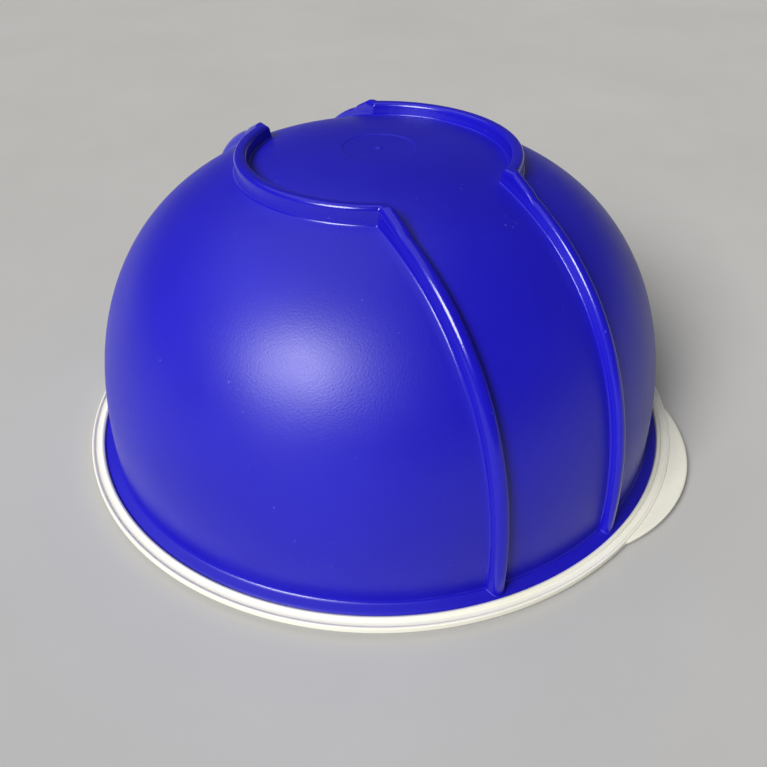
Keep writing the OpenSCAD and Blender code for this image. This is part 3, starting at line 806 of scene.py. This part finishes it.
@functools.cache
def blue_plastic():
    """Satin polypropylene: fine spark texture, polished ribs, faint clouding, specks and rub marks."""
    n = Nodes("bowl_blue_plastic")
    deep, lit, scuff = (0.006, 0.003, 0.42), (0.010, 0.007, 0.50), (0.12, 0.12, 0.64)
    cloud = n.ranged(n.noise(9.0, 4.0), 0.35, 0.7, 0.0, 1.0)
    base = n.mix(cloud, deep, lit)
    rub_mask = n.ranged(n.noise(14.0, 5.0, 0.7), 0.62, 0.78, 0.0, 1.0)
    rub_lines = n.ranged(n.noise(60.0, 2.0, 0.6, (1.0, 9.0, 2.5)), 0.66, 0.72, 0.0, 1.0)
    rub = n.math("MULTIPLY", rub_mask, rub_lines)
    specks = n.ranged(n.noise(520.0, 1.0, 0.4), 0.79, 0.82, 0.0, 1.0)
    marks = n.math("MAXIMUM", n.math("MULTIPLY", rub, 0.35), n.math("MULTIPLY", specks, 0.5))
    n.colour(n.mix(marks, base, scuff))
    rough = n.ranged(n.noise(22.0, 4.0), 0.3, 0.7, 0.37, 0.43)
    crest = n.attribute("crest")
    leaves_wall = n.ranged(crest, 0.01, 0.05, 0.0, 1.0)
    on_side = n.ranged(crest, 0.2, 0.35, 1.0, 0.0)
    foot_of_rib = n.math("MULTIPLY", leaves_wall, on_side)
    top_of_rib = n.ranged(crest, 0.5, 0.9, 0.0, 1.0)
    polish = n.math("MULTIPLY", n.math("MAXIMUM", foot_of_rib, top_of_rib), 0.2)
    n.roughness(n.math("SUBTRACT", n.math("ADD", rough, n.math("MULTIPLY", marks, 0.2)), polish))
    grain = n.math("MULTIPLY", n.noise(1250.0, 3.0, 0.6), n.ranged(crest, 0.01, 0.2, 1.0, 0.15))
    wave = n.noise(28.0, 2.0, 0.4)
    n.normal(n.bump(wave, 0.00035, 0.35, n.bump(grain, 0.00008, 0.8)))
    n.set(Specular_IOR_Level=0.55, IOR=1.49)
    return n.material


@functools.cache
def white_plastic():
    """Warm white polyethylene, a little translucent, with faint flow clouding."""
    n = Nodes("lid_white_plastic")
    warm, cool = (0.86, 0.85, 0.74), (0.90, 0.89, 0.80)
    base = n.mix(n.ranged(n.noise(12.0, 4.0), 0.35, 0.7, 0.0, 1.0), warm, cool)
    smudge = n.ranged(n.noise(45.0, 5.0, 0.7), 0.62, 0.75, 0.0, 0.35)
    n.colour(n.mix(smudge, base, (0.76, 0.74, 0.62)))
    n.roughness(n.ranged(n.noise(30.0, 3.0), 0.3, 0.7, 0.28, 0.36))
    n.normal(n.bump(n.noise(1300.0, 2.0), 0.000015, 0.5))
    n.set(Subsurface_Weight=0.12, Subsurface_Radius=(0.004, 0.003, 0.002), Subsurface_Scale=0.5)
    return n.material


@functools.cache
def basket_plastic():
    """Clean white polypropylene of the basket and its cover."""
    n = Nodes("basket_white_plastic")
    base = n.mix(n.ranged(n.noise(16.0, 3.0), 0.35, 0.7, 0.0, 1.0), (0.80, 0.80, 0.74), (0.86, 0.86, 0.81))
    n.colour(base)
    n.roughness(n.ranged(n.noise(24.0, 3.0), 0.3, 0.7, 0.36, 0.46))
    n.normal(n.bump(n.noise(1200.0, 2.0), 0.00002, 0.5))
    n.set(Subsurface_Weight=0.1, Subsurface_Radius=(0.003, 0.003, 0.002), Subsurface_Scale=0.5)
    return n.material


@functools.cache
def trim_plastic():
    """Glossier blue of the knob's grip and the wheel's cap, worn a little paler where it is held."""
    n = Nodes("trim_blue_plastic")
    worn = n.ranged(n.noise(70.0, 4.0, 0.6), 0.45, 0.75, 0.0, 0.6)
    n.colour(n.mix(worn, (0.018, 0.012, 0.42), (0.035, 0.028, 0.52)))
    n.roughness(n.ranged(n.noise(50.0, 3.0), 0.3, 0.7, 0.24, 0.36))
    n.normal(n.bump(n.noise(1500.0, 2.0), 0.000015, 0.5))
    return n.material


@functools.cache
def gear_plastic():
    """Natural acetal of the gears, with a trace of grease."""
    n = Nodes("gear_natural_plastic")
    greasy = n.ranged(n.noise(90.0, 4.0, 0.6), 0.5, 0.7, 0.0, 0.5)
    n.colour(n.mix(greasy, (0.78, 0.76, 0.68), (0.62, 0.58, 0.45)))
    n.roughness(n.ranged(n.noise(80.0, 3.0), 0.35, 0.65, 0.22, 0.45))
    n.normal(n.bump(n.noise(900.0, 2.0), 0.00002, 0.5))
    return n.material


@functools.cache
def bearing_plastic():
    """Dark acetal of the bushes and of the basket's wear cup."""
    n = Nodes("bearing_dark_plastic")
    cloud = n.ranged(n.noise(60.0, 4.0), 0.35, 0.7, 0.0, 1.0)
    n.colour(n.mix(cloud, (0.012, 0.012, 0.013), (0.03, 0.03, 0.032)))
    n.roughness(n.ranged(n.noise(70.0, 3.0), 0.3, 0.7, 0.4, 0.55))
    n.normal(n.bump(n.noise(1100.0, 2.0), 0.00002, 0.5))
    return n.material


def metal(name, bright, dark, low_rough, high_rough):
    """Turned metal with fine marks across Z."""
    n = Nodes(name)
    n.set(Metallic=1.0)
    n.colour(n.mix(n.noise(120.0, 4.0), dark, bright))
    n.roughness(n.ranged(n.noise(160.0, 3.0, 0.6, (1.0, 1.0, 14.0)), 0.3, 0.7, low_rough, high_rough))
    n.normal(n.bump(n.noise(420.0, 2.0, 0.6, (1.0, 1.0, 20.0)), 0.000008, 0.6))
    return n.material


@functools.cache
def steel():
    """Stainless steel of the spindle, pins, screws and nut."""
    return metal("turned_steel", (0.66, 0.65, 0.63), (0.50, 0.49, 0.48), 0.18, 0.34)


@functools.cache
def spring_steel():
    """Blued spring steel of the clips."""
    return metal("blued_spring_steel", (0.16, 0.16, 0.18), (0.08, 0.08, 0.10), 0.25, 0.42)


@functools.cache
def paper_floor():
    """Pale matt studio paper with a faint mottle."""
    n = Nodes("pale_floor")
    n.colour(n.mix(n.ranged(n.noise(5.0, 4.0), 0.3, 0.7, 0.0, 1.0), (0.47, 0.47, 0.47), (0.50, 0.50, 0.50)))
    n.roughness(n.ranged(n.noise(40.0, 3.0), 0.3, 0.7, 0.75, 0.9))
    n.normal(n.bump(n.noise(700.0, 3.0), 0.00004, 0.4))
    return n.material


SLOT_MATERIALS = {
    "bowl_blue": blue_plastic, "lid_white": white_plastic, "basket_white": basket_plastic,
    "trim_blue": trim_plastic, "gear_plastic": gear_plastic, "bearing_plastic": bearing_plastic,
    "steel": steel, "spring_steel": spring_steel,
}


# Edge radius of the carried-over CAD nodes, in millimetres
EDGE_RADIUS = {
    "crank_wheel": 0.35, "retaining_ring": 0.3, "drive_plate": 0.35, "knob_arm": 0.4, "knob_cap": 0.3,
    "basket_pivot_cup": 0.3, "hub_nut": 0.2, "hub_washer": 0.12, "ring_screws": 0.08, "hinge_pin": 0.2,
}
DEFAULT_EDGE_RADIUS = 0.12
BEVEL_ANGLE = 38.0
WELD_DISTANCE = 2e-6
# Nodes that are replaced by a mesh made here
REMADE = ("bowl", "lid", "basket", "knob_grip")


def soften_edges(obj, radius):
    """Joins a CAD node's faces, rounds its sharp edges and keeps its flat faces flat, all in modifiers."""
    weld = obj.modifiers.new("join faces", "WELD")
    weld.merge_threshold = WELD_DISTANCE
    bevel = obj.modifiers.new("edge radius", "BEVEL")
    bevel.width = radius * MM
    bevel.segments = 2
    bevel.limit_method = "ANGLE"
    bevel.angle_limit = math.radians(BEVEL_ANGLE)
    bevel.use_clamp_overlap = True
    shade = obj.modifiers.new("flat faces", "WEIGHTED_NORMAL")
    shade.weight = 90
    shade.keep_sharp = False


def dress_cad_nodes():
    """Gives each carried-over CAD node its material and small moulded edges."""
    slots = {part["node"]: part["material_slot"] for part in frame["record"]["subparts"]}
    for node, obj in frame["nodes"].items():
        material = SLOT_MATERIALS[slots[node]]()
        if not obj.data.materials:
            obj.data.materials.append(material)
        for slot in obj.material_slots:
            slot.material = material
        if node not in REMADE:
            soften_edges(obj, EDGE_RADIUS.get(node, DEFAULT_EDGE_RADIUS))


# ---------------------------------------------------------------- stage, light and camera

def make_floor():
    """Plain pale floor, wide enough to fill every view."""
    bm = bmesh.new()
    bmesh.ops.create_circle(bm, cap_ends=True, segments=FLOOR_SEGMENTS, radius=FLOOR_R)
    mesh = bpy.data.meshes.new("studio_floor")
    bm.to_mesh(mesh)
    bm.free()
    floor = bpy.data.objects.new("studio_floor", mesh)
    bpy.context.scene.collection.objects.link(floor)
    floor.data.materials.append(paper_floor())


def spherical(bearing, rise, distance):
    """Offset at a bearing (from -Y towards +X) and a rise above the floor, both in degrees."""
    az, el = math.radians(bearing), math.radians(rise)
    return Vector((math.sin(az) * math.cos(el), -math.cos(az) * math.cos(el), math.sin(el))) * distance


def make_sun(name, bearing, rise, angle, strength, colour):
    """Sun of an angular width in degrees, aimed at the bowl."""
    light = bpy.data.lights.new(name, "SUN")
    light.energy = strength
    light.color = colour
    light.angle = math.radians(angle)
    obj = bpy.data.objects.new(name, light)
    offset = spherical(bearing, rise, SUN_DISTANCE)
    obj.location = Vector(SUN_AIM) + offset
    obj.rotation_euler = (-offset).to_track_quat("-Z", "Y").to_euler()
    bpy.context.scene.collection.objects.link(obj)


def make_lights():
    """Warm key sun, weak fill from behind and a dim even sky."""
    make_sun("key", KEY_BEARING, KEY_RISE, KEY_ANGLE, KEY_STRENGTH, KEY_COLOUR)
    make_sun("back_fill", BACK_BEARING, BACK_RISE, BACK_ANGLE, BACK_STRENGTH, BACK_COLOUR)
    world = bpy.data.worlds.new("studio")
    world.use_nodes = True
    background = world.node_tree.nodes["Background"]
    background.inputs["Color"].default_value = WORLD_COLOUR
    background.inputs["Strength"].default_value = WORLD_STRENGTH
    bpy.context.scene.world = world
    bpy.context.scene.view_settings.view_transform = "Standard"


def make_camera():
    """Camera at the bearing, rise and distance named above."""
    camera = bpy.data.cameras.new("camera")
    camera.lens = CAMERA_LENS
    camera.sensor_width = SENSOR
    camera.clip_start = 0.01
    obj = bpy.data.objects.new("camera", camera)
    obj.location = spherical(CAMERA_BEARING, CAMERA_RISE, CAMERA_DISTANCE)
    aim = (Vector(CAMERA_TARGET) - obj.location).to_track_quat("-Z", "Y")
    obj.rotation_euler = (aim @ Quaternion((0.0, 0.0, 1.0), math.radians(CAMERA_ROLL))).to_euler()
    bpy.context.scene.collection.objects.link(obj)
    bpy.context.scene.camera = obj


make_camera()
dress_cad_nodes()
make_bowl()
make_lid()
make_basket()
make_grip()
make_floor()
make_lights()
